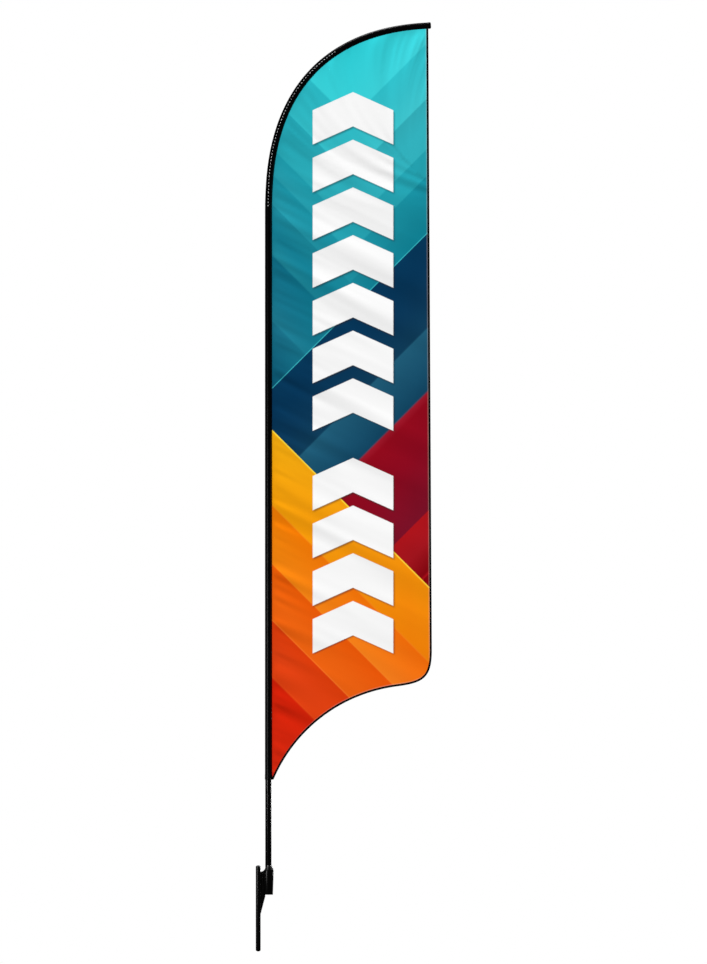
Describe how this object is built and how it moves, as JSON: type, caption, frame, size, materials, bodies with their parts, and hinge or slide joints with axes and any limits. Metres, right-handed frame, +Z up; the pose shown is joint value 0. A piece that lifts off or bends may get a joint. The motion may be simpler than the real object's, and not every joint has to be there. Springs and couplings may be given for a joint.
{
  "type": "feather flag with pole",
  "caption": "Tall printed feather flag sleeved on a sectional tube pole with a bent tip, turning in the socket of a steel ground spike.",
  "frame": {"origin": "on the pole's axis, at the socket's flat underside, which stands at ground level", "axes": "+Z up along the pole, +X from the pole to the flag's trailing edge, +Y through the cloth"},
  "size_m": [0.8171, 0.0502, 4.3189],
  "materials": {
    "spike_steel": "black powder coat, satin",
    "pole_tube": "black anodised, satin gloss",
    "black_nylon": "moulded black nylon",
    "grey_nylon": "moulded grey nylon",
    "bright_steel": "plain steel",
    "fibreglass": "black pultruded fibreglass",
    "sleeve_cloth": "black woven polyester",
    "hem_cloth": "black woven binding",
    "flag_cloth": "printed knitted polyester in teal, navy, crimson, amber and red bands with white chevrons"
  },
  "bodies": {
    "ground_spike": {"spike_rod": "spike_steel", "gusset_web": "spike_steel", "spike_weld_front": "spike_steel", "spike_weld_back": "spike_steel", "socket_weld_front": "spike_steel", "socket_weld_back": "spike_steel", "socket_tube": "spike_steel", "socket_plug": "spike_steel", "mouth_collar": "black_nylon", "thrust_washer": "grey_nylon"},
    "swivel": {"swivel_cup": "grey_nylon"},
    "base_pole": {"foot_plug": "black_nylon", "base_tube": "pole_tube", "base_stop_pin": "bright_steel"},
    "second_pole": {"second_tube": "pole_tube", "second_stop_pin": "bright_steel"},
    "third_pole": {"third_tube": "pole_tube", "tip_reducer": "black_nylon"},
    "flag_and_tip": {"tip_rod_lower": "fibreglass", "tip_rod_upper": "fibreglass", "tip_ferrule": "bright_steel", "tip_cap": "black_nylon", "sleeve": "sleeve_cloth", "sleeve_cuff": "sleeve_cloth", "tip_pocket": "sleeve_cloth", "flag_panel": "flag_cloth", "trailing_hem": "hem_cloth", "bottom_hem": "hem_cloth"}
  },
  "joints": [
    {"name": "pole_spin", "type": "hinge", "parent": "ground_spike", "child": "swivel", "pos_m": [0, 0, 0], "axis": [0, 0, 1], "continuous": true},
    {"name": "base_lift", "type": "slide", "parent": "swivel", "child": "base_pole", "axis": [0, 0, 1], "range_m": [0, 0.12]},
    {"name": "second_pull", "type": "slide", "parent": "base_pole", "child": "second_pole", "axis": [0, 0, 1], "range_m": [0, 0.149]},
    {"name": "third_pull", "type": "slide", "parent": "second_pole", "child": "third_pole", "axis": [0, 0, 1], "range_m": [0, 0.149]},
    {"name": "tip_pull", "type": "slide", "parent": "third_pole", "child": "flag_and_tip", "axis": [0, 0, 1], "range_m": [0, 0.119]}
  ]
}
